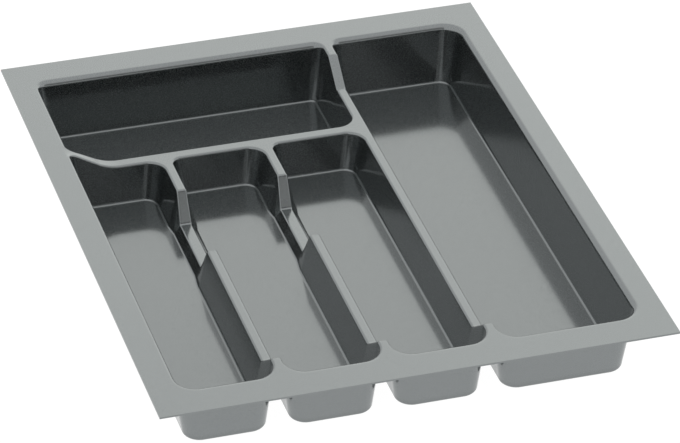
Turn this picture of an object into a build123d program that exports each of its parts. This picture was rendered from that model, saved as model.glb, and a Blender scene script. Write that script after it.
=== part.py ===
from build123d import *
import os
from math import atan2, tan

# A cutlery tray for a drawer, formed from one plastic sheet.
# Its origin is the middle of the surface that it rests on: X runs across the
# drawer, Y from the front rim to the back rim and Z up. Sizes are millimetres.

# Driving dimensions

tray_width = 380.0
tray_depth = 474.0
tray_height = 49.5
sheet = 1.4

# The rim is flat from its outer edge to the sharp line where a wall turns down.
side_rim = 20.7
end_rim = 28.0

# How far a wall leans into its pocket between the rim and the floor
side_lean = 7.7
end_lean = 5.5

# Three lengthwise ridges: the first one's middle from the left wall, and their pitch
first_ridge = 75.5
ridge_pitch = 78.1
ridge_top = 7.3
ridge_foot = 19.8

# The crosswise pocket at the rim, and the ridge in front of it
cross_pocket = 94.1
cross_ridge_top = 9.8
cross_ridge_foot = 17.1

# Heights of the ridge tops above the floor
strip_height = 30.9
dip_height = 7.5

# The lengthwise ridges start at rim height at both ends and slope down.
slope_start_front = 18.9
slope_run = 22.7
slope_start_back = 19.5

# Finger dips in the two left ridges: their length between the feet of their slopes, and
# how far their back foot is from the middle of the crosswise ridge
dip_top = 9.2
dip_foot = 17.6
dip_length = 58.7
dip_setback = 60.3
dip_front_run = 13.9
dip_back_run = 11.4

# The crosswise ridge climbs to the left rim along a slope with a round foot. It gets
# there a little inside the left wall.
climb_inset = 2.0
climb_run = 29.0
climb_radius = 35.0

# Round corners of the pockets, seen from above
corner_radius = 12.0
middle_radius = 8.5
tight_radius = 5.5

# Small rounds along the edges, and what is taken off the lower edges of the under side
edge_round = 2.0
floor_round = 2.5
under_chamfer = 2.3

# Upward share of the normal of a level face and of a slope along a ridge, at least
level_share = 0.85
slope_share = 0.4

# Share of the sheet by which a wall of the under side moves sideways
wall_share = 0.85

# Working room above and below the sheet while it is shaped, and what counts as touching
spare = 10.0
touch = 0.001

# Heights and places that follow

rim_z = tray_height
floor_z = sheet
strip_z = floor_z + strip_height
dip_z = floor_z + dip_height
strip_drop = rim_z - strip_z
inner_depth = rim_z - floor_z

left_x = side_rim - tray_width / 2
right_x = tray_width / 2 - side_rim
front_y = end_rim - tray_depth / 2
back_y = tray_depth / 2 - end_rim

rim_middle_x = (tray_width - side_rim) / 2
rim_middle_y = (tray_depth - end_rim) / 2

left_ridge_x, middle_ridge_x, long_ridge_x = [
    left_x + first_ridge + step * ridge_pitch for step in range(3)
]
cross_ridge_y = back_y - cross_pocket - cross_ridge_top / 2
dip_back_y = cross_ridge_y - dip_setback
dip_front_y = dip_back_y - dip_length

front_slope_y = front_y + slope_start_front
front_strip_y = front_slope_y + slope_run
back_slope_y = back_y - slope_start_back
back_strip_y = back_slope_y - slope_run


def wall_at(wall, inward, z, skin):
    """Place of a wall at height z, where wall is its place, its lean and its top height.

    Inward is 1 or -1, the way along the axis that leads into the pocket. The
    skin moves the wall out of the pocket.
    """
    place, lean, top = wall
    if lean == 0:
        return place
    return place + inward * (lean * (top - z) / (top - floor_z) - wall_share * skin)


def ease_foot(lines, skin):
    """Round where a wall meets its floor, on the upper side, and flat on the under side."""
    if skin == 0:
        fillet(lines, floor_round)
    else:
        chamfer(lines, under_chamfer)


def section(left, right, skin, eased=True):
    """Section across a pocket, from its floor to above the rim."""
    top_z = rim_z + spare
    with BuildSketch(mode=Mode.PRIVATE) as outline:
        with BuildLine():
            Polyline(
                (wall_at(left, 1, floor_z, skin), floor_z),
                (wall_at(right, -1, floor_z, skin), floor_z),
                (wall_at(right, -1, top_z, skin), top_z),
                (wall_at(left, 1, top_z, skin), top_z),
                close=True,
            )
        make_face()
        if eased:
            ease_foot(vertices().group_by(Axis.Y)[0], skin)
    return outline.sketch


def stretch(first, second, skin):
    """Solid that fills a pocket between two stations of place, left wall and right wall."""
    with BuildPart() as filling:
        if first[1:] == second[1:]:
            with BuildSketch(Plane.XZ.offset(-first[0])):
                add(section(*first[1:], skin))
            extrude(amount=first[0] - second[0])
        else:
            for y, left, right in (first, second):
                with BuildSketch(Plane.XZ.offset(-y)):
                    add(section(left, right, skin))
            loft(ruled=True)
    return filling.part


def bay(station, end, inward, radii, skin):
    """Solid that fills the end of a pocket, between a leaning wall and a station.

    Inward is the way along Y from the end wall into the pocket. The radii are
    those of the left corner and the right one.
    """
    cut_y, left, right = station
    far_y = cut_y + inward * tray_depth
    with BuildPart() as filling:
        with BuildSketch(Plane.XZ.offset(-far_y)):
            add(section(left, right, skin, eased=False))
        extrude(amount=inward * 2 * tray_depth)
        with BuildSketch(Plane.YZ):
            with BuildLine():
                Polyline(
                    (wall_at(end, inward, floor_z, skin), floor_z),
                    (wall_at(end, inward, rim_z + spare, skin), rim_z + spare),
                    (far_y, rim_z + spare),
                    (far_y, floor_z),
                    close=True,
                )
            make_face()
        extrude(amount=tray_width, both=True, mode=Mode.INTERSECT)
        end_y = wall_at(end, inward, floor_z, skin)
        for x, radius in zip((wall_at(left, 1, floor_z, skin), wall_at(right, -1, floor_z, skin)), radii):
            upright = [edge for edge in edges() if edge.bounding_box().size.Z > inner_depth]
            corner = ShapeList(upright).sort_by_distance((x, end_y, floor_z))[0]
            fillet(corner, radius + skin)
        foot = [edge for edge in edges() if edge.bounding_box().max.Z < floor_z + touch]
        ease_foot([edge for edge in foot if abs(edge.center().Y - far_y) > touch], skin)
        keep = Keep.TOP if inward > 0 else Keep.BOTTOM
        split(bisect_by=Plane.XZ.offset(-cut_y), keep=keep)
    return filling.part


def pocket(front, stations, back, radii, skin):
    """Solids that fill a pocket: two bays, and a stretch between each two stations.

    The radii are those of the corners front left, front right, back right
    and back left.
    """
    middle = [stretch(first, second, skin) for first, second in zip(stations, stations[1:])]
    front_bay = bay(stations[0], front, 1, radii[:2], skin)
    back_bay = bay(stations[-1], back, -1, (radii[3], radii[2]), skin)
    return [front_bay, *middle, back_bay]


def bend_shift(drop, run, skin):
    """How far the bend between a level and a slope moves along when the skin comes off."""
    return skin * tan(atan2(drop, run) / 2)


def profile_at(skin):
    """Places and heights of the bends along a lengthwise ridge: its front slope, its dip and its back slope."""
    slope = bend_shift(strip_drop, slope_run, skin)
    front_dip = bend_shift(strip_z - dip_z, dip_front_run, skin)
    back_dip = bend_shift(strip_z - dip_z, dip_back_run, skin)
    front_slope = [(front_slope_y - slope, rim_z), (front_strip_y - slope, strip_z)]
    dip = [
        (dip_front_y - front_dip - dip_front_run, strip_z),
        (dip_front_y - front_dip, dip_z),
        (dip_back_y + back_dip, dip_z),
        (dip_back_y + back_dip + dip_back_run, strip_z),
    ]
    back_slope = [(back_strip_y + slope, strip_z), (back_slope_y + slope, rim_z)]
    return front_slope, dip, back_slope


def ridge_side(x, side, top, foot, top_z):
    """Wall of a ridge, where side is -1 for its left one and 1 for its right one."""
    return (x + side * top / 2, (foot - top) / 2, top_z)


def pockets(skin):
    """Solids that fill the five pockets."""
    front_slope, dip, back_slope = profile_at(skin)
    left = (left_x, side_lean, rim_z)
    right = (right_x, side_lean, rim_z)
    front = (front_y, end_lean, rim_z)
    back = (back_y, end_lean, rim_z)
    cross_lean = (cross_ridge_foot - cross_ridge_top) / 2
    cross_front = (cross_ridge_y - cross_ridge_top / 2, cross_lean, strip_z)
    cross_back = (cross_ridge_y + cross_ridge_top / 2, cross_lean, strip_z)
    big, middle, tight = corner_radius, middle_radius, tight_radius

    def at(bend, x, side):
        """Side of the ridge at x, as it is at one of the bends."""
        top_z = bend[1]
        if top_z == dip_z:
            return ridge_side(x, side, dip_top, dip_foot, top_z)
        return ridge_side(x, side, ridge_top, ridge_foot, top_z)

    fillings = []
    bends = front_slope + dip
    first = [(bend[0], left, at(bend, left_ridge_x, -1)) for bend in bends]
    fillings += pocket(front, first, cross_front, (big, big, big, tight), skin)
    second = [(bend[0], at(bend, left_ridge_x, 1), at(bend, middle_ridge_x, -1)) for bend in bends]
    fillings += pocket(front, second, cross_front, (big, big, big, middle), skin)
    strip = front_slope[1]
    beside_strip = [*front_slope, *[strip] * len(dip)]
    third = [
        (bend[0], at(bend, middle_ridge_x, 1), at(other, long_ridge_x, -1))
        for bend, other in zip(bends, beside_strip)
    ]
    fillings += pocket(front, third, cross_front, (big, big, big, middle), skin)
    cross = [(bend[0], left, at(bend, long_ridge_x, -1)) for bend in back_slope]
    fillings += pocket(cross_back, cross, back, (tight, big, middle, big), skin)
    long = [(bend[0], at(bend, long_ridge_x, 1), right) for bend in front_slope + back_slope]
    fillings += pocket(front, long, back, (big, big, big, middle), skin)
    return fillings


def room_over(profile, low_x, high_x):
    """Solid over a profile along Y of ridge tops, up to above the rim."""
    above = rim_z + spare
    with BuildPart() as room:
        with BuildSketch(Plane.YZ.offset(low_x)):
            with BuildLine():
                Polyline(*profile, (profile[-1][0], above), (profile[0][0], above), close=True)
            make_face()
        extrude(amount=high_x - low_x)
    return room.part


def rooms_above(skin):
    """Solids that clear the space above the ridges, down to their tops."""
    front_slope, dip, back_slope = profile_at(skin)
    half_foot = ridge_foot / 2
    left_foot, right_foot = left_ridge_x - half_foot, long_ridge_x + half_foot
    rooms = [
        room_over(front_slope, left_foot, right_foot),
        room_over(dip, left_foot, middle_ridge_x + half_foot),
        room_over(back_slope, long_ridge_x - half_foot, right_foot),
    ]

    # The level stretch, with the climb of the crosswise ridge to the left rim
    above = rim_z + spare
    climb_x = left_x + climb_inset - bend_shift(strip_drop, climb_run, skin)
    knee_x = climb_x + climb_run
    start_y, end_y = front_slope[1][0], back_slope[0][0]
    with BuildPart() as level:
        with BuildSketch(Plane.XZ.offset(-start_y)):
            with BuildLine():
                Polyline(
                    (climb_x, rim_z),
                    (knee_x, strip_z),
                    (right_foot, strip_z),
                    (right_foot, above),
                    (climb_x, above),
                    close=True,
                )
            make_face()
            knee = vertices().sort_by_distance((knee_x, strip_z))[0]
            fillet(knee, climb_radius + skin)
        extrude(amount=start_y - end_y)
    return [*rooms, level.part]


def borders(faces):
    """Edges that only one of the faces has."""
    edges = [edge for face in faces for edge in face.edges()]
    return [edge for edge in edges if edges.count(edge) == 1]


def inside_rim(edges):
    """The edges that lie within the middle line of the rim."""
    inner = [edge for edge in edges if abs(edge.center().X) < rim_middle_x]
    return [edge for edge in inner if abs(edge.center().Y) < rim_middle_y]


def form(skin):
    """Block whose upper side is the tray's, with a skin off its walls.

    Lowered by the same skin it is the block under the sheet.
    """
    fillings = pockets(skin)
    rooms = rooms_above(skin)
    with BuildPart() as block:
        with BuildSketch(Plane.XY.offset(-spare)):
            Rectangle(tray_width + 2 * skin, tray_depth + 2 * skin)
        extrude(amount=rim_z + spare)
        add(fillings, mode=Mode.SUBTRACT)
        add(rooms, mode=Mode.SUBTRACT)

        # Rounds along the rim and the ridge tops, on the upper side
        if skin == 0:
            raised = [face for face in faces() if face.center().Z > dip_z - touch]
            levels = [face for face in raised if face.normal_at().Z > level_share]
            inclines = [face for face in raised if slope_share < face.normal_at().Z < level_share]
            incline_edges = [edge for face in inclines for edge in face.edges()]
            edges_to_round = inside_rim(borders(levels))
            fillet([edge for edge in edges_to_round if edge not in incline_edges], edge_round)
    return block


top_form = form(0)
under_form = form(sheet)

with BuildPart() as tray:
    add(top_form.part)
    add(Pos(0, 0, -sheet) * under_form.part, mode=Mode.SUBTRACT)
tray.part.label = "tray"

os.makedirs("parts", exist_ok=True)
export_step(tray.part, "parts/tray.step")
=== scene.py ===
# %% [markdown]
# # A cutlery tray formed from one plastic sheet
#
# The real tray is a single sheet of silver-grey plastic that was heated and
# drawn over a mould. So there is one piece to model here, and nearly all of its
# looks come from two things: how exactly the sheet bends, and what its glossy
# metallic surface mirrors. The pockets could be cut out of a block, but then the
# soft bends would be missing. So the script works out the sheet's upper side as
# one surface, gives it its thickness and its plastic, and then sets up the light
# that the plastic mirrors.

import math

import bmesh
import bpy
import numpy as np
from mathutils import Matrix, Vector


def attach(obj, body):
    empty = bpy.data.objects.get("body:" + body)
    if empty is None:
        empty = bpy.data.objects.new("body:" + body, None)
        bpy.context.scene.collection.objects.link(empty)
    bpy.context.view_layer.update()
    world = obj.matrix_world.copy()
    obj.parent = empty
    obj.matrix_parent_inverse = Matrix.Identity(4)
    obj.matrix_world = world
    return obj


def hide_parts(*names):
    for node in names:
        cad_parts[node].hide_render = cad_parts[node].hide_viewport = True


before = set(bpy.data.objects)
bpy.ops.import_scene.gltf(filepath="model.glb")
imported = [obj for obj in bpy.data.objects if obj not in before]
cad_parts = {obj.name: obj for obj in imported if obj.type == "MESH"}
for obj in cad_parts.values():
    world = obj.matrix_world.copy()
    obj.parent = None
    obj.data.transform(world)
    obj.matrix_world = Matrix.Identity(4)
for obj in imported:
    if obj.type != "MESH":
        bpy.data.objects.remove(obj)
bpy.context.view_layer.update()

# %% [markdown]
# ## Heights and thickness
#
# The tray stands on the origin's plane, with X across the drawer, Y towards the
# back and Z up. The CAD model and this script share their frame, so the sizes
# mean the same on both sides. They could be written in metres at once, but a
# drawing has them in millimetres, and one factor turns those into the scene's
# metres. The heights come first, because every shape below needs them. All other
# sizes come with the part of the tray that they belong to.

# %% Heights and thickness
MM = 0.001

rim_z, strip_z, sheet = 49.5, 32.3, 1.4
floor_z = sheet
depth = rim_z - floor_z
print("the pockets are", round(depth, 1), "mm deep inside")

# %% [markdown]
# ## Leaning walls
#
# A formed tray has no upright wall, because it couldn't be pulled off its mould.
# Every wall leans out by a few degrees. A pocket could be modelled upright and
# its top made wider, but then the lean would change with the pocket's size. So a
# wall is the sharp line where it would meet the top, and how much further in it
# stands at the floor. Its place is then known at every height.

# %% Outer walls of the pockets
left_x, right_x = -168.9, 169.3
front_y, back_y = -209.0, 209.0
side_lean, end_lean, front_lean = 7.7, 5.5, 3.9


def wall(place, lean, top_z):
    """A leaning wall as its place at the floor and how far it moves for each millimetre up."""
    return place + lean, -lean / (top_z - floor_z)


def wall_at(leaning, z):
    """Place of a wall at height z: the place at the floor, plus the rate times the height."""
    return leaning[0] + leaning[1] * (z - floor_z)


left = wall(left_x, side_lean, rim_z)
right = wall(right_x, -side_lean, rim_z)
front = wall(front_y, front_lean, rim_z)
back = wall(back_y, -end_lean, rim_z)
print("the left wall's foot is at x", round(left[0], 1), "and the front wall's at y", round(front[0], 1))

# %% [markdown]
# ## A pocket as pairs of points
#
# Seen from above, each pocket is a rectangle with round corners. Going down its
# wall, the sheet first rolls over a small round, then runs straight and leaning
# to the floor, and rolls out over another round. That is a surface of two
# parameters: one goes round the pocket, the other goes down the wall. The way
# round is a list of pairs of points: where the wall would meet the top in a
# sharp line, and where it would meet the floor. Everything else follows from
# those pairs. A modelled box with bevels would be quicker, but it couldn't
# give the rim a wider round than the ridges, or let a ridge dip.
#
# A pair is one row of eight numbers: X, Y and Z of the top point, X and Y of the
# foot point, the radius of the round at the top, and X and Y of the way that the
# wall faces, into the pocket.


# %% Heights of the tops
def rim_height(x):
    """Height of the rim, the same everywhere."""
    return np.full_like(x, rim_z)


def strip_height(x):
    """Height of the level ridge tops, the same everywhere."""
    return np.full_like(x, strip_z)


print("the rim is", rim_z, "mm high and the level ridge tops", strip_z, "mm")

# %% Round corners
corner_steps, corner_foot_share = 12, 0.75
height_rounds = 12


def corner(side, end, way, radius, rounds, top=rim_height):
    """Pairs round a corner, from its side wall to its end wall.

    At each height the corner is a quarter circle that touches both walls, so its
    points are wall - way * radius * (1 - cos t) and wall - way * radius * (1 - sin t).
    The radius gets smaller in a straight line towards the floor. The top point's
    height depends on its X, so it is found by a few rounds of repetition. The
    round at the top goes from the side wall's to the end wall's by the smooth
    step a^2 (3 - 2 a), where a is the share of the way round.
    """
    turn = np.linspace(0, math.pi / 2, corner_steps + 1)
    share = np.linspace(0, 1, corner_steps + 1)

    def points(z):
        reach = radius * (corner_foot_share + (1 - corner_foot_share) * (z - floor_z) / depth)
        x = wall_at(side, z) - way[0] * reach * (1 - np.cos(turn))
        y = wall_at(end, z) - way[1] * reach * (1 - np.sin(turn))
        return x, y

    z = np.full(len(turn), rim_z)
    for _ in range(height_rounds):
        x, y = points(z)
        z = top(x)
    foot_x, foot_y = points(np.full(len(turn), floor_z))
    radii = rounds[0] + (rounds[1] - rounds[0]) * share**2 * (3 - 2 * share)
    facing = -way[0] * np.cos(turn), -way[1] * np.sin(turn)
    return np.column_stack([x, y, z, foot_x, foot_y, radii, *facing])


print("a corner has", corner_steps + 1, "pairs")

# %% [markdown]
# ## Rows along a side
#
# The lengthwise ridges are as high as the rim at their ends and slope down to a
# lower level, and two of them have a dip for the fingers. The bends are short
# curves rather than sharp lines, because warm plastic doesn't follow a mould's
# edge exactly. A bevel could round them, but it would have to cross the rounds
# that run along the ridge, and there bevels go wrong. So the curve is in the rows
# of points themselves. Rows lie close together near each bend and far apart on
# the flat stretches. The close rows keep a bend's smooth shading from spreading
# over the flat sheet beside it.

# %% Short curves at the bends
bend_reach, bend_steps = 1.2, 6


def eased(knots):
    """The knots with each inner one replaced by a short curve.

    The curve is a quadratic one, which leaves each neighbouring stretch at the
    distance bend_reach from the knot: (1-s)^2 a + 2 s (1-s) knot + s^2 b.
    """
    knots = [np.array(knot, float) for knot in knots]
    s = np.linspace(0, 1, bend_steps)[:, None]
    rows = []
    for before, knot, after in zip(knots[:-2], knots[1:-1], knots[2:]):
        a = knot + (before - knot) * bend_reach / np.linalg.norm(before - knot)
        b = knot + (after - knot) * bend_reach / np.linalg.norm(after - knot)
        rows.append((1 - s) ** 2 * a + 2 * s * (1 - s) * knot + s**2 * b)
    return np.concatenate(rows)


print("each bend is a curve of", bend_steps, "rows")

# %% Rows on the straight stretches
support, largest_support_share = 0.5, 0.25
row_gap = 12.0
short_stretch = 4 * support


def stretch(first, second, count):
    """Rows from the first one up to the second, without it.

    The first row is followed by one close to it, then by even steps, with the
    last of them close to the second row.
    """
    span = np.abs(second - first).max()
    close = min(support / span, largest_support_share)
    share = np.concatenate([[0.0], np.linspace(close, 1 - close, count)])
    return first + share[:, None] * (second - first)


def filled(rows):
    """The rows, with more of them in each long stretch."""
    parts = []
    for first, second in zip(rows[:-1], rows[1:]):
        span = np.abs(second - first).max()
        if span > short_stretch:
            parts.append(stretch(first, second, max(2, math.ceil(span / row_gap) + 1)))
        else:
            parts.append(first[None])
    parts.append(rows[-1:])
    return np.concatenate(parts)


print("rows are at most", row_gap, "mm apart")

# %% [markdown]
# ## Profiles of the lengthwise ridges
#
# On the real tray a ridge is a fold of the sheet, wider at its foot than at its
# top and hollow from below. One outline could be swept along a path, but the
# ridge's height and width change on the way. So its profile is a list of
# stations: the place along Y, the height of the ridge's top there, and half its
# width at the top and at the foot. One profile serves both sides of a ridge, so
# the two sides bend at the same places.

# %% Stations along the ridges
ridge_half, ridge_foot_half = 3.65, 9.9
slope_front, slope_back = (-190.1, -167.4), (166.8, 189.5)
dip_z, dip_half, dip_foot_half = 8.9, 4.2, 8.8
dip_front, dip_back = (-22.9, -9.0), (49.7, 61.1)
cross_y = 110.0

high = (rim_z, ridge_half, ridge_foot_half)
low = (strip_z, ridge_half, ridge_foot_half)
deep = (dip_z, dip_half, dip_foot_half)
front_bends = [(slope_front[0], *high), (slope_front[1], *low)]
dip_bends = [(dip_front[0], *low), (dip_front[1], *deep), (dip_back[0], *deep), (dip_back[1], *low)]
back_bends = [(slope_back[0], *low), (slope_back[1], *high)]
rim_start, rim_end = (front_y, *high), (back_y, *high)
cross_start = (cross_y, *low)

dipped_profile = filled(eased([rim_start, *front_bends, *dip_bends, cross_start]))
front_profile = filled(eased([rim_start, *front_bends, cross_start]))
back_profile = filled(eased([cross_start, *back_bends, rim_end]))
print("rows along a dipped ridge:", len(dipped_profile))

# %% [markdown]
# ## The crosswise ridge
#
# The crosswise ridge is level with the lower ridge tops. Near the left rim it
# climbs up to the rim along a slope with a wide curve at its foot. The climb
# could be a list of stations too, but its curve is wide enough to be seen, so it
# is a true arc, and the height is a function of X that any row can ask for.

# %% Height of the crosswise ridge
climb_run, climb_radius = 31.0, 35.0


def climb_height(x):
    """Height of the crosswise ridge's top: a slope down from the left rim, an arc, then level.

    The slope is a straight line from the rim. The arc has the climb's radius
    and touches both the slope and the level stretch.
    """
    angle = math.atan2(rim_z - strip_z, climb_run)
    knee_x = left_x + climb_run
    reach = climb_radius * math.tan(angle / 2)
    start_x, end_x = knee_x - reach * math.cos(angle), knee_x + reach
    line = rim_z - (x - left_x) * math.tan(angle)
    arc = strip_z + climb_radius - np.sqrt(np.maximum(climb_radius**2 - (end_x - x) ** 2, 0))
    return np.clip(np.where(x < start_x, line, np.where(x < end_x, arc, strip_z)), strip_z, rim_z)


for x in (left_x, left_x + climb_run, 0.0):
    print("top of the crosswise ridge at x", round(x, 1), "is", round(float(climb_height(x)), 2))

# %% Walls of the crosswise ridge
cross_half, cross_foot_half = 4.9, 8.55

cross_front = wall(cross_y - cross_half, cross_half - cross_foot_half, strip_z)
cross_back = wall(cross_y + cross_half, cross_foot_half - cross_half, strip_z)
print("at its foot the crosswise ridge is", 2 * cross_foot_half, "mm wide")

# %% [markdown]
# ## Down the wall
#
# Where the real sheet turns over the rim or a ridge, and again where it meets
# the floor, it has a small round. A bevel has one width, but these rounds are
# wider at the rim than along a ridge, and narrow again at the left rim, and they
# change smoothly in the corners between. So each pair becomes a line of points
# from the top, over the round, down the wall and out onto the floor. A round
# between two straight stretches is an arc that touches both, and it starts
# radius * tan(half the turn) before the corner.

# %% From pairs to a surface
rim_round, left_rim_round, ridge_round, floor_round = 4.5, 2.2, 1.8, 1.9
top_steps, foot_steps = 9, 7


def lines_down(pairs):
    """Grid of points, with one line down the wall for each pair.

    The wall leans by atan(run / drop) from the upright, so both rounds turn by a
    right angle less that lean. On the top arc, a point is radius * sin t along and
    radius * (1 - cos t) down from where the arc starts. The floor's arc is the
    same, seen from the floor. A point a little beyond each end of an arc lies on
    the straight stretch. All this lies in the upright plane that the wall faces.
    Where the foot point is off that plane, points move sideways towards it in
    proportion to how far down they are.
    """
    top_x, top_y, top_z, foot_x, foot_y, radius, way_x, way_y = pairs.T[:, :, None]
    run = (foot_x - top_x) * way_x + (foot_y - top_y) * way_y
    aside_x, aside_y = foot_x - top_x - run * way_x, foot_y - top_y - run * way_y
    lean = np.arctan2(run, top_z - floor_z)
    turn = math.pi / 2 - lean
    top_reach, foot_reach = radius * np.tan(turn / 2), floor_round * np.tan(turn / 2)

    t = turn * np.linspace(0, 1, top_steps + 1)
    top_along = radius * np.sin(t) - top_reach
    top_down = radius * (1 - np.cos(t))
    t = turn * np.linspace(1, 0, foot_steps + 1)
    foot_along = run + foot_reach - floor_round * np.sin(t)
    foot_up = floor_round * (1 - np.cos(t))

    beyond_top, beyond_foot = top_reach + support, foot_reach + support
    along = [-beyond_top, top_along, beyond_top * np.sin(lean)]
    along += [run - beyond_foot * np.sin(lean), foot_along, run + beyond_foot]
    z = [top_z, top_z - top_down, top_z - beyond_top * np.cos(lean)]
    z += [floor_z + beyond_foot * np.cos(lean), floor_z + foot_up, np.full_like(top_z, floor_z)]
    along, z = np.hstack(along), np.hstack(z)
    down = (top_z - z) / (top_z - floor_z)
    x = top_x + way_x * along + aside_x * down
    y = top_y + way_y * along + aside_y * down
    return np.dstack([x, y, z])


wide, middle, tight = 15.0, 8.0, 5.5
sample = lines_down(corner(left, front, (-1, -1), wide, (left_rim_round, rim_round)))
print("a corner of the left front pocket is a grid of", sample.shape[:2], "points")

# %% [markdown]
# ## Sides between the corners
#
# Every pocket is four corners and four sides between them, anticlockwise from
# its front left corner. A straight side could be one long face, but where two
# pockets share a ridge, the faces on the ridge's top have to join them row by
# row. So both sides of a ridge take the same rows.

# %% Sides and ridge walls
end_rows = 6


def between(first, second, inner=None):
    """Pairs along a side, from the last row of one corner, over inner rows, to the next corner.

    The stretches beside the inner rows always have as many rows, whatever their
    length, so that the two sides of a ridge have the same number.
    """
    if inner is None:
        return filled(np.concatenate([first[-1:], second[:1]]))
    ends = stretch(first[-1], inner[0], end_rows), stretch(inner[-1], second[0], end_rows)
    return np.concatenate([ends[0], inner[:-1], ends[1], second[:1]])


def ridge_side(x, side, profile):
    """Pairs along one side of a ridge, from its profile of Y, height, top and foot half width."""
    y, z, top, foot = profile.T
    radii, facing = np.full_like(y, ridge_round), np.full_like(y, side)
    return np.column_stack([x + side * top, y, z, x + side * foot, y, radii, facing, 0 * y])


def ridge_wall(x, side, top_z):
    """Side wall of a ridge that is top_z high, as the foot's place and the rate."""
    return wall(x + side * ridge_half, side * (ridge_foot_half - ridge_half), top_z)


ridge_xs = (-93.8, -15.7, 62.4)
ridge_sides = {
    (index, side): (ridge_wall(x, side, rim_z), ridge_wall(x, side, strip_z), ridge_round)
    for index, x in enumerate(ridge_xs)
    for side in (-1, 1)
}
print("sides of lengthwise ridges:", len(ridge_sides))

# %% [markdown]
# ## The three lanes
#
# Forks, knives and spoons lie in three lanes in front of the crosswise ridge.
# Their front ends touch the rim and their back ends that ridge, which is lower.
# The left lane's outer side follows the rim too. One lane could be made and
# copied, but the three differ in width and in the ridges beside them. So one
# function makes each of them from its two sides.

# %% Corners and sides of the lanes
plain_rounds = (ridge_round, ridge_round)


def lane(left_side, right_side, radii):
    """Corners of a lengthwise pocket in front of the crosswise ridge.

    Each side is its wall at the front, its wall at the back and its round. The
    radii are those of the front left, front right, back right and back left.
    """
    (left_front, left_back, left_round), (right_front, right_back, right_round) = left_side, right_side
    left_rounds, right_rounds = (left_round, rim_round), (right_round, rim_round)
    behind_rounds = (left_round, ridge_round)
    left_top = climb_height if left_back is left else strip_height
    return {
        "front_left": corner(left_front, front, (-1, -1), radii[0], left_rounds),
        "front_right": corner(right_front, front, (1, -1), radii[1], right_rounds)[::-1],
        "back_right": corner(right_back, cross_front, (1, 1), radii[2], plain_rounds, strip_height),
        "back_left": corner(left_back, cross_front, (-1, 1), radii[3], behind_rounds, left_top)[::-1],
    }


rim_side = (left, left, left_rim_round)
lanes = [
    lane(rim_side, ridge_sides[0, -1], (wide, wide, wide, tight)),
    lane(ridge_sides[0, 1], ridge_sides[1, -1], (wide, wide, wide, middle)),
    lane(ridge_sides[1, 1], ridge_sides[2, -1], (wide, wide, wide, middle)),
]
for index, pocket in enumerate(lanes):
    profile = front_profile if index == 2 else dipped_profile
    pocket["front"] = between(pocket["front_left"], pocket["front_right"])
    right_rows = ridge_side(ridge_xs[index], -1, profile)
    pocket["right"] = between(pocket["front_right"], pocket["back_right"], right_rows)
    if index == 0:
        pocket["left"] = between(pocket["back_left"], pocket["front_left"])
    else:
        left_rows = ridge_side(ridge_xs[index - 1], 1, dipped_profile)[::-1]
        pocket["left"] = between(pocket["back_left"], pocket["front_left"], left_rows)
    pocket["back"] = between(pocket["back_right"], pocket["back_left"])
print("pockets in front of the crosswise ridge:", len(lanes))

# %% [markdown]
# ## The crosswise pocket
#
# Behind the lanes lies a crosswise pocket for smaller tools. It could be made on
# its own and joined to the lanes afterwards, but then the points on the two
# sides of their ridge wouldn't match. So its front side takes the same places
# as the backs of the lanes that face it. The left lane's back side follows the
# climb, so its rows lie closer together there.

# %% The climb and the crosswise pocket
climb_from, climb_to, climb_rows = -121.0, -155.0, 24


def cross_side(x, foot_x, leaning):
    """Pairs along the crosswise ridge, with the top points at x and the foot points at foot_x."""
    z = climb_height(x)
    foot_y, radii = np.full_like(x, leaning[0]), np.full_like(x, ridge_round)
    facing = np.full_like(x, -np.sign(leaning[1]))
    return np.column_stack([x, wall_at(leaning, z), z, foot_x, foot_y, radii, 0 * x, facing])


first_lane = lanes[0]
climb_x = np.linspace(climb_from, climb_to, climb_rows)
climb_pairs = cross_side(climb_x, climb_x, cross_front)
first_lane["back"] = between(first_lane["back_right"], first_lane["back_left"], climb_pairs)

strip_wall, high_wall = ridge_wall(ridge_xs[2], -1, strip_z), ridge_wall(ridge_xs[2], -1, rim_z)
ridge_to_rim = (ridge_round, rim_round)
left_cross_rounds = (left_rim_round, ridge_round)
cross = {
    "front_left": corner(left, cross_back, (-1, -1), tight, left_cross_rounds, climb_height),
    "front_right": corner(strip_wall, cross_back, (1, -1), wide, plain_rounds, strip_height)[::-1],
    "back_right": corner(high_wall, back, (1, 1), middle, ridge_to_rim),
    "back_left": corner(left, back, (-1, 1), middle, (left_rim_round, rim_round))[::-1],
}
opposite = np.concatenate([pocket["back"][::-1] for pocket in lanes])[1:-1]
front_rows = cross_side(opposite[:, 0], opposite[:, 3], cross_back)
cross["front"] = np.concatenate([cross["front_left"][-1:], front_rows, cross["front_right"][:1]])
cross_right_rows = ridge_side(ridge_xs[2], -1, back_profile)
cross["right"] = between(cross["front_right"], cross["back_right"], cross_right_rows)
cross["back"] = between(cross["back_right"], cross["back_left"])
cross["left"] = between(cross["back_left"], cross["front_left"])
print("rows along the crosswise ridge:", len(front_rows))

# %% [markdown]
# ## The long pocket
#
# The long pocket, for large tools, runs from the front rim to the back rim.
# Across its ridge lie the right lane and the crosswise pocket, one behind the
# other. A side made from the ridge's profile alone would have other rows than
# those two, so this side takes its places from both of them.

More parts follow.
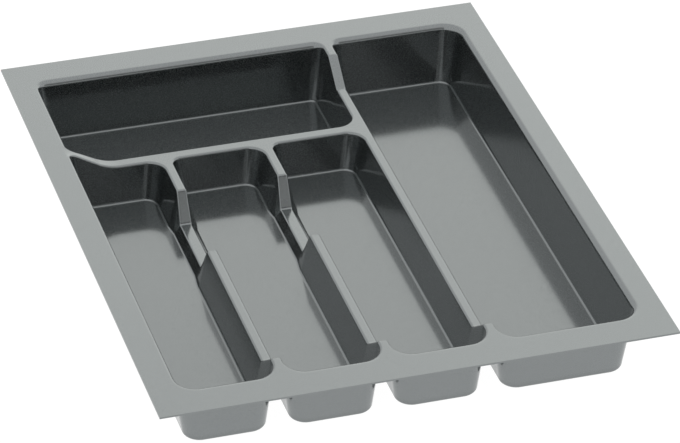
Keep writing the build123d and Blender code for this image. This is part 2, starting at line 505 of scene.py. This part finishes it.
# %% The long pocket on the right
long_high = ridge_wall(ridge_xs[2], 1, rim_z)
rim_rounds = (rim_round, rim_round)
long = {
    "front_left": corner(long_high, front, (-1, -1), wide, ridge_to_rim),
    "front_right": corner(right, front, (1, -1), wide, rim_rounds)[::-1],
    "back_right": corner(right, back, (1, 1), wide, rim_rounds),
    "back_left": corner(long_high, back, (-1, 1), middle, ridge_to_rim)[::-1],
}
opposite = [lanes[2]["right"], lanes[2]["back_right"], cross["front_right"], cross["right"]]
opposite = np.concatenate(opposite)[1:-1]
whole_profile = np.concatenate([front_profile, back_profile])
stations = [np.interp(opposite[:, 1], whole_profile[:, 0], column) for column in whole_profile.T[1:]]
left_rows = ridge_side(ridge_xs[2], 1, np.column_stack([opposite[:, 1], *stations]))
left_rows[:, 4] = opposite[:, 4]
long["left"] = np.concatenate([long["back_left"][-1:], left_rows[::-1], long["front_left"][:1]])
long["front"] = between(long["front_left"], long["front_right"])
long["right"] = between(long["front_right"], long["back_right"])
long["back"] = between(long["back_right"], long["back_left"])

pockets = [*lanes, cross, long]
order = ["front", "front_right", "right", "back_right", "back", "back_left", "left", "front_left"]
print("rows round each pocket:", [sum(len(pocket[name]) for name in order) for pocket in pockets])

# %% [markdown]
# ## The ridge tops
#
# The top of a ridge is a narrow strip of the sheet. It could be one long face,
# but it bends with the slopes and the dips, and one face would fold anywhere. So
# each strip is a grid with two points in each row, one on each side of the ridge.

# %% Strips between the pockets
patches = [lines_down(pocket[name]) for pocket in pockets for name in order]


def upper_line(*parts):
    """Upper points along sides and corners, one after the other."""
    return np.concatenate([lines_down(pairs)[:, 0] for pairs in parts])


def strip(first, second):
    """Grid of faces between two lines that have as many points."""
    return np.stack([first, second], axis=1)


def names_of(pocket, names, turned=False):
    """Sides and corners of a pocket by name, or each of them turned round."""
    return [pocket[name][::-1] if turned else pocket[name] for name in names.split()]


right_names, left_names = "front_right right back_right", "front_left left back_left"
for first, second in ((lanes[0], lanes[1]), (lanes[1], lanes[2])):
    west = upper_line(*names_of(first, right_names))
    east = upper_line(*names_of(second, left_names, turned=True))
    patches.append(strip(west, east))
west = upper_line(*names_of(lanes[2], right_names), *names_of(cross, right_names))
east = upper_line(*names_of(long, left_names, turned=True))
patches.append(strip(west, east))

south = [lanes[0]["back_left"][::-1]] + [pocket["back"][::-1] for pocket in lanes]
north = [cross["front_left"], cross["front"]]
patches.append(strip(upper_line(*south), upper_line(*north)))
print("patches with the ridge tops:", len(patches))

# %% [markdown]
# ## The rim
#
# The rim is the part of the sheet that stays flat, from the pockets to its sharp
# outer corners. It could be a plate with the pockets cut out, but a cut leaves
# long thin faces that shade badly. So the rim is a band of faces that runs round
# all the pockets. Just inside its edge it has one more ring of points, so that
# the trimmed edge shades as a crisp line and the rim beside it stays flat.

# %% The rim round all pockets
half_width, half_depth = 190.0, 237.0
edge_band = 0.8


def outer_line(pairs, way):
    """Points on the rim's outer edge that face a side, or a corner with both ways set.

    A side's points move straight out to the edge. A corner's first half goes
    along one edge to the sharp outer corner, and its second half along the other.
    """
    line = lines_down(pairs)[:, 0].copy()
    edge_x, edge_y = way[0] * half_width, way[1] * half_depth
    if way[1] == 0:
        line[:, 0] = edge_x
    elif way[0] == 0:
        line[:, 1] = edge_y
    else:
        half = len(line) // 2
        share = np.minimum(np.arange(len(line)) / half, 1)
        back_share = np.minimum(np.arange(len(line))[::-1] / half, 1)
        start, end = line[0].copy(), line[-1].copy()
        side_first = abs(abs(start[0]) - right_x) < abs(abs(start[1]) - back_y)
        if side_first:
            line[:, 0], line[:, 1] = edge_x, start[1] + (edge_y - start[1]) * share
            line[half:, 0] = end[0] + (edge_x - end[0]) * back_share[half:]
        else:
            line[:, 1], line[:, 0] = edge_y, start[0] + (edge_x - start[0]) * share
            line[half:, 1] = end[1] + (edge_y - end[1]) * back_share[half:]
    return line


rim_parts = [(pocket["front"], (0, -1)) for pocket in (*lanes, long)]
rim_parts += [(long["front_right"], (1, -1)), (long["right"], (1, 0)), (long["back_right"], (1, 1))]
rim_parts += [(long["back"], (0, 1)), (cross["back"], (0, 1)), (cross["back_left"], (-1, 1))]
rim_parts += [(cross["left"], (-1, 0)), (lanes[0]["left"], (-1, 0)), (lanes[0]["front_left"], (-1, -1))]
inner_rim = upper_line(*[pairs for pairs, way in rim_parts])
outer_rim = np.concatenate([outer_line(pairs, way) for pairs, way in rim_parts])
inwards = inner_rim - outer_rim
near_edge = outer_rim + inwards * edge_band / np.linalg.norm(inwards, axis=1)[:, None]
closed = [np.vstack([line, line[:1]]) for line in (inner_rim, near_edge, outer_rim)]
patches += [strip(closed[0], closed[1]), strip(closed[1], closed[2])]
print("patches with the rim:", len(patches))

# %% [markdown]
# ## One mesh
#
# The real tray has no seams. The patches and floors could stay objects of their
# own that touch, but the shading would show every joint, and their thickness
# would open gaps there. So they are put into one mesh and their shared edges are
# merged. Then every face is turned to point up and into the room. Only after
# that does the sheet get its thickness, because turning the faces of a closed
# shell would turn its lower side round.


# %% The sheet as a mesh
def grid_faces(first, rows, columns):
    """Corner numbers of a grid's faces, counted from its first point."""
    here = first + np.arange(rows - 1)[:, None] * columns + np.arange(columns - 1)
    here = here.ravel()
    return np.column_stack([here, here + 1, here + 1 + columns, here + columns])


points, faces = [], []
count = 0
for patch in patches:
    rows, columns = patch.shape[:2]
    faces += grid_faces(count, rows, columns).tolist()
    points.append(patch.reshape(-1, 3))
    count += rows * columns
for pocket in pockets:
    ring = np.concatenate([lines_down(pocket[name])[:-1, -1] for name in order])
    faces.append(list(range(count, count + len(ring))))
    points.append(ring)
    count += len(ring)

mesh = bpy.data.meshes.new("tray_sheet")
mesh.from_pydata((np.concatenate(points) * MM).tolist(), [], faces)
tray = bpy.data.objects.new("tray_sheet", mesh)
bpy.context.scene.collection.objects.link(tray)
print("points before merging:", count)

# %% Merge the patches and turn their faces up
merge_distance, shortest_edge = 0.002 * MM, 0.001 * MM

work = bmesh.new()
work.from_mesh(mesh)
bmesh.ops.remove_doubles(work, verts=work.verts, dist=merge_distance)
bmesh.ops.dissolve_degenerate(work, edges=work.edges, dist=shortest_edge)
bmesh.ops.recalc_face_normals(work, faces=work.faces)
largest = max(work.faces, key=lambda face: face.calc_area())
if largest.normal.z < 0:
    bmesh.ops.reverse_faces(work, faces=work.faces)
open_edges = [edge for edge in work.edges if edge.is_boundary]
odd_edges = [edge for edge in work.edges if not edge.is_manifold and not edge.is_boundary]
print("points", len(work.verts), "faces", len(work.faces))
print("edges on the outline", len(open_edges), "and edges with more than two faces", len(odd_edges))
work.to_mesh(mesh)
work.free()
mesh.shade_smooth()

# %% [markdown]
# ## Thickness and trimmed edge
#
# The sheet is taken as 1.4 mm thick everywhere. Its lower side could be worked
# out by the same formulas, but a modifier that thickens the sheet keeps the
# distance even over every bend by itself. The thickness goes downwards, because
# the upper side has the right sizes already. After forming, the tray is cut free
# of its sheet. A small bevel gives that cut the tiny round that catches the light
# as a thin line.

# %% Thickness, edge and place in the frame
edge_round, edge_segments, edge_angle = 0.25 * MM, 2, math.radians(60)

thickness = tray.modifiers.new("thickness", "SOLIDIFY")
thickness.thickness = sheet * MM
thickness.offset = -1
thickness.use_even_offset = True
thickness.use_quality_normals = True
trimmed = tray.modifiers.new("trimmed edge", "BEVEL")
trimmed.width, trimmed.segments = edge_round, edge_segments
trimmed.limit_method = "ANGLE"
trimmed.angle_limit = edge_angle
trimmed.harden_normals = True
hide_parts("tray")
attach(tray, "root")
print("the sheet is", sheet, "mm thick")

# %% [markdown]
# ## The plastic
#
# The sheet is plastic with a silver effect: it mirrors like dark metal. Most of
# its surface is smooth and gives a nearly sharp reflection. The rest is fine
# flakes that lie a little crooked and spread the light, which lifts the darkest
# reflections. One roughness for all of it would blur the sharp reflections, and
# flakes as bumps would be lost, because one flake is smaller than a dot of the
# picture. So the flakes are a cell pattern that picks a low or a high roughness.

# %% Plastic with silver flakes
flake_size, flake_share = 0.15 * MM, 0.15

plastic = bpy.data.materials.new("silver_grey_plastic")
plastic.use_nodes = True
nodes, links = plastic.node_tree.nodes, plastic.node_tree.links
shader = nodes["Principled BSDF"]
shader.inputs["Metallic"].default_value = 1.0
place = nodes.new("ShaderNodeTexCoord")


def pattern(kind, size, **values):
    """Pattern node on the object's own coordinates, with features of the given size."""
    node = nodes.new(kind)
    node.inputs["Scale"].default_value = 1 / size
    for name, value in values.items():
        node.inputs[name].default_value = value
    links.new(place.outputs["Object"], node.inputs["Vector"])
    return node


flakes = pattern("ShaderNodeTexVoronoi", flake_size)
chance = nodes.new("ShaderNodeSeparateColor")
links.new(flakes.outputs["Color"], chance.inputs["Color"])
is_flake = nodes.new("ShaderNodeMath")
is_flake.operation = "LESS_THAN"
is_flake.inputs[1].default_value = flake_share
links.new(chance.outputs["Red"], is_flake.inputs[0])
print("flakes cover", round(100 * flake_share), "% of the sheet")

# %% [markdown]
# ## Colour of the sheet and painted shade on the floors
#
# Each flake or patch of plastic is a little lighter or darker than the next. The
# floors look a little darker than the rim, because the pocket walls keep part of
# the mirrored light from them. That shade is painted into the colour, which gets
# darker near the floor. The floors could have a material of their own, but then
# its edge would show. So there is one material, whose colour depends on the
# flake and, as painted shade, on the height.

# %% Tone of the flakes and painted shade on the floors
dark_tone, light_tone = (0.231, 0.246, 0.248, 1), (0.245, 0.260, 0.262, 1)
# Painted shade: near the pocket floors the colour is darkened to this share of the rim's.
floor_shade_share, floor_shade_height = 0.86, 6 * MM

tone = nodes.new("ShaderNodeMix")
tone.data_type = "RGBA"
tone.inputs["A"].default_value = dark_tone
tone.inputs["B"].default_value = light_tone
links.new(chance.outputs["Green"], tone.inputs["Factor"])

height = nodes.new("ShaderNodeSeparateXYZ")
links.new(place.outputs["Object"], height.inputs[0])
# Painted shade: darker colour at the floor, rising to full colour at this height.
floor_shade_ramp = nodes.new("ShaderNodeMapRange")
floor_shade_ramp.inputs["From Min"].default_value = floor_z * MM
floor_shade_ramp.inputs["From Max"].default_value = floor_shade_height
floor_shade_ramp.inputs["To Min"].default_value = floor_shade_share
floor_shade_ramp.inputs["To Max"].default_value = 1.0
links.new(height.outputs["Z"], floor_shade_ramp.inputs["Value"])

# The flake tone times the painted floor shade gives the base colour.
shaded_tone = nodes.new("ShaderNodeMix")
shaded_tone.data_type, shaded_tone.blend_type = "RGBA", "MULTIPLY"
shaded_tone.inputs["Factor"].default_value = 1.0
links.new(tone.outputs["Result"], shaded_tone.inputs["A"])
links.new(floor_shade_ramp.outputs["Result"], shaded_tone.inputs["B"])
links.new(shaded_tone.outputs["Result"], shader.inputs["Base Color"])
print("the floors have", floor_shade_share, "of the rim's tone")

# %% [markdown]
# ## Gloss and waviness
#
# The smooth part isn't equally smooth everywhere, and a drawn sheet is never
# quite flat. The waves could be in the mesh, but they are so low that they don't
# change the shape and only bend the reflections faintly. So two soft noises as
# long as a thumb's width are enough: one varies the roughness a little, and the
# other is a bump.

# %% Roughness and waves
flake_roughness, smooth_roughness = 0.5, (0.10, 0.15)
wave_length, wave_height, wave_strength = 25 * MM, 0.02 * MM, 0.3
gloss_detail, wave_detail = 3.0, 2.0

gloss_noise = pattern("ShaderNodeTexNoise", wave_length, Detail=gloss_detail)
softness = nodes.new("ShaderNodeMapRange")
softness.inputs["To Min"].default_value, softness.inputs["To Max"].default_value = smooth_roughness
links.new(gloss_noise.outputs["Fac"], softness.inputs["Value"])
roughness = nodes.new("ShaderNodeMix")
roughness.inputs["B"].default_value = flake_roughness
links.new(is_flake.outputs[0], roughness.inputs["Factor"])
links.new(softness.outputs["Result"], roughness.inputs["A"])
links.new(roughness.outputs["Result"], shader.inputs["Roughness"])

wave_noise = pattern("ShaderNodeTexNoise", wave_length, Detail=wave_detail)
waves = nodes.new("ShaderNodeBump")
waves.inputs["Strength"].default_value = wave_strength
waves.inputs["Distance"].default_value = wave_height
links.new(wave_noise.outputs["Fac"], waves.inputs["Height"])
links.new(waves.outputs["Normal"], shader.inputs["Normal"])
mesh.materials.append(plastic)
print("plastic:", len(nodes), "nodes")

# %% [markdown]
# ## A white room
#
# The tray mirrors the room, so its greys are made of the room's light. The white
# around it could come from strong lamps, but they would bleach the tray. So the
# world is white to the camera and in the tray's reflections, and a little dimmer
# to all other rays, because the soft box adds light of its own.

# %% White world
room_level = 0.9


def white_share(tree):
    """Socket that is 1 for rays from the camera, from a mirror or through glass."""
    path = tree.nodes.new("ShaderNodeLightPath")
    share = path.outputs["Is Camera Ray"]
    for name in ("Is Glossy Ray", "Is Transmission Ray"):
        total = tree.nodes.new("ShaderNodeMath")
        total.operation = "MAXIMUM"
        tree.links.new(share, total.inputs[0])
        tree.links.new(path.outputs[name], total.inputs[1])
        share = total.outputs[0]
    return share


world = bpy.data.worlds.new("white_room")
bpy.context.scene.world = world
world.use_nodes = True
tree = world.node_tree
soft = tree.nodes["Background"]
soft.inputs["Color"].default_value = (1, 1, 1, 1)
soft.inputs["Strength"].default_value = room_level
white = tree.nodes.new("ShaderNodeBackground")
white.inputs["Color"].default_value = (1, 1, 1, 1)
mixed = tree.nodes.new("ShaderNodeMixShader")
tree.links.new(white_share(tree), mixed.inputs["Fac"])
tree.links.new(soft.outputs[0], mixed.inputs[1])
tree.links.new(white.outputs[0], mixed.inputs[2])
tree.links.new(mixed.outputs[0], tree.nodes["World Output"].inputs["Surface"])
print("the room's level is", room_level)

# %% [markdown]
# ## The floor
#
# The floor is matt white paper. Paper alone would come out grey under this soft
# light, and a floor that only glows would have no shadow. So to the camera and
# in reflections most of it is plain white, and a small share is the lit paper,
# which carries the tray's faint shadow. It lies a hair below the tray, because
# two surfaces in exactly the same place would flicker.

# %% White paper floor
floor_half, floor_gap = 6.0, 0.05 * MM
paper_grey, paper_roughness = 0.8, 0.9
shadow_share, glow_level = 0.1, 1.1


def plain_sheet(name, corners):
    """A flat stage piece from its corners, of matt paper, with its nodes and its shader."""
    sheet_mesh = bpy.data.meshes.new(name)
    sheet_mesh.from_pydata(corners, [], [tuple(range(len(corners)))])
    piece = bpy.data.objects.new(name, sheet_mesh)
    bpy.context.scene.collection.objects.link(piece)
    paper = bpy.data.materials.new(name)
    paper.use_nodes = True
    paper_shader = paper.node_tree.nodes["Principled BSDF"]
    paper_shader.inputs["Base Color"].default_value = (paper_grey, paper_grey, paper_grey, 1)
    paper_shader.inputs["Roughness"].default_value = paper_roughness
    paper_shader.inputs["Specular IOR Level"].default_value = 0.0
    sheet_mesh.materials.append(paper)
    return piece, paper.node_tree, paper_shader


ways = ((-1, -1), (1, -1), (1, 1), (-1, 1))
square = [(floor_half * x, floor_half * y, -floor_gap) for x, y in ways]
_, tree, paper_shader = plain_sheet("floor", square)
glow = tree.nodes.new("ShaderNodeEmission")
glow.inputs["Strength"].default_value = glow_level
lit = tree.nodes.new("ShaderNodeMixShader")
lit.inputs["Fac"].default_value = 1 - shadow_share
mixed = tree.nodes.new("ShaderNodeMixShader")
tree.links.new(paper_shader.outputs[0], lit.inputs[1])
tree.links.new(glow.outputs[0], lit.inputs[2])
tree.links.new(white_share(tree), mixed.inputs["Fac"])
tree.links.new(paper_shader.outputs[0], mixed.inputs[1])
tree.links.new(lit.outputs[0], mixed.inputs[2])
tree.links.new(mixed.outputs[0], tree.nodes["Material Output"].inputs["Surface"])
print("the floor is", 2 * floor_half, "m wide")

# %% [markdown]
# ## The soft box
#
# In an all-white room a glossy tray looks flat. So, as for a picture of
# cutlery, a large soft box stands behind the tray, a little to the right, where
# the level rim, the ridge tops and the floors mirror it. Small lamps could light
# the tray too, but each would show as a spot in the gloss. The soft box fades
# towards its sides and its top, because a hard edge would show as a line in the
# reflections. The fade is worked out from the place on the lamp's surface.

# %% Place of the soft box
box_azimuth, box_elevation, box_distance = math.radians(38), math.radians(24), 6.0
box_width, box_height, box_level = 10.0, 6.4, 0.54
box_colour = (1.0, 1.0, 0.93, 1)

towards = Vector((
    math.sin(box_azimuth) * math.cos(box_elevation),
    math.cos(box_azimuth) * math.cos(box_elevation),
    math.sin(box_elevation),
))
aside = Vector((0, 0, 1)).cross(towards).normalized()
upwards = towards.cross(aside)
turn = Matrix((aside, upwards, towards)).transposed().to_4x4()

light = bpy.data.lights.new("soft_box", "AREA")
light.shape = "RECTANGLE"
light.size, light.size_y = box_width, box_height
light.energy = box_level * math.pi * box_width * box_height
soft_box = bpy.data.objects.new("soft_box", light)
bpy.context.scene.collection.objects.link(soft_box)
soft_box.matrix_world = Matrix.Translation(towards * box_distance) @ turn
soft_box.visible_camera = False
print("soft box", box_width, "by", box_height, "m")

# %% Fades of the soft box
full_left, full_right = 2.4, -2.0
fade_top, full_top = 5.36, 3.2

light.use_nodes = True
tree = light.node_tree
spot = tree.nodes.new("ShaderNodeNewGeometry")
emission = tree.nodes["Emission"]
emission.inputs["Color"].default_value = box_colour


def fade(axis, start, end):
    """Socket that rises smoothly from 0 at start to 1 at end, measured along an axis."""
    along = tree.nodes.new("ShaderNodeVectorMath")
    along.operation = "DOT_PRODUCT"
    along.inputs[1].default_value = axis
    tree.links.new(spot.outputs["Position"], along.inputs[0])
    smooth = tree.nodes.new("ShaderNodeMapRange")
    smooth.interpolation_type = "SMOOTHSTEP"
    smooth.inputs["From Min"].default_value, smooth.inputs["From Max"].default_value = start, end
    tree.links.new(along.outputs["Value"], smooth.inputs["Value"])
    return smooth.outputs["Result"]


level = fade(aside, box_width / 2, full_left)
for other in (fade(aside, -box_width / 2, full_right), fade((0, 0, 1), fade_top, full_top)):
    product = tree.nodes.new("ShaderNodeMath")
    product.operation = "MULTIPLY"
    tree.links.new(level, product.inputs[0])
    tree.links.new(other, product.inputs[1])
    level = product.outputs[0]
tree.links.new(level, emission.inputs["Strength"])
print("the soft box is full below", full_top, "m and dark above", fade_top, "m")

# %% [markdown]
# ## The dark card
#
# The back walls of the pockets look deep and dark. Darker plastic there would be
# wrong from every other side, so a dark card stands in front of the tray, and
# those walls mirror it by way of the floors. The steep ramps of the finger dips
# mirror its lower part and the round of the back rim its upper part, and both
# are light on the real tray. So the card is dark only in a band, at the height
# that the back walls mirror.

# %% Dark card in front
card_y, card_left, card_right, card_height = -5.0, -1.5, 4.5, 6.0
card_greys = ((0.0, 0.8), (1.65, 0.8), (1.85, 0.25), (2.1, 0.25), (6.0, 0.85))

edges = ((card_right, 0), (card_left, 0), (card_left, card_height), (card_right, card_height))
upright = [(x, card_y, z) for x, z in edges]
card, tree, card_shader = plain_sheet("dark_card", upright)
card.visible_camera = False

card_place = tree.nodes.new("ShaderNodeTexCoord")
parted = tree.nodes.new("ShaderNodeSeparateXYZ")
tree.links.new(card_place.outputs["Object"], parted.inputs[0])
height_share = tree.nodes.new("ShaderNodeMath")
height_share.operation = "DIVIDE"
height_share.inputs[1].default_value = card_height
tree.links.new(parted.outputs["Z"], height_share.inputs[0])
greys = tree.nodes.new("ShaderNodeValToRGB")
stops = greys.color_ramp.elements
for index, (z, grey) in enumerate(card_greys):
    stop = stops[index] if index < 2 else stops.new(z / card_height)
    stop.position, stop.color = z / card_height, (grey, grey, grey, 1)
tree.links.new(height_share.outputs[0], greys.inputs["Fac"])
tree.links.new(greys.outputs["Color"], card_shader.inputs["Base Color"])
print("dark card", card_right - card_left, "by", card_height, "m")

# %% [markdown]
# ## The camera
#
# The camera stands where the photographer's did, in front of the tray, a little
# to the left and high up. It is far away with a long lens, so the tray's sides
# hardly converge. It could be made to track the tray, but its place and its
# three turns were worked out from the corners of the rim, so they are set as
# they are. The lens follows from the focal length in picture dots.

# %% Camera
image_width, focal_pixels, sensor_width = 680, 4501.3, 36.0
camera_place = (-0.8196, -2.6583, 1.8570)
camera_turns = (17.353, 33.346, -0.948)
view_limit = 100.0

camera_data = bpy.data.cameras.new("camera")
camera_data.sensor_width = sensor_width
camera_data.lens = focal_pixels / image_width * sensor_width
camera_data.clip_end = view_limit
camera = bpy.data.objects.new("camera", camera_data)
bpy.context.scene.collection.objects.link(camera)
azimuth, elevation, roll = map(math.radians, camera_turns)
facing = Matrix.Rotation(-azimuth, 4, "Z") @ Matrix.Rotation(math.pi / 2 - elevation, 4, "X")
camera.matrix_world = Matrix.Translation(camera_place) @ facing @ Matrix.Rotation(-roll, 4, "Z")
bpy.context.scene.camera = camera
bpy.context.scene.view_settings.view_transform = "Standard"
print("lens", round(camera_data.lens), "mm")
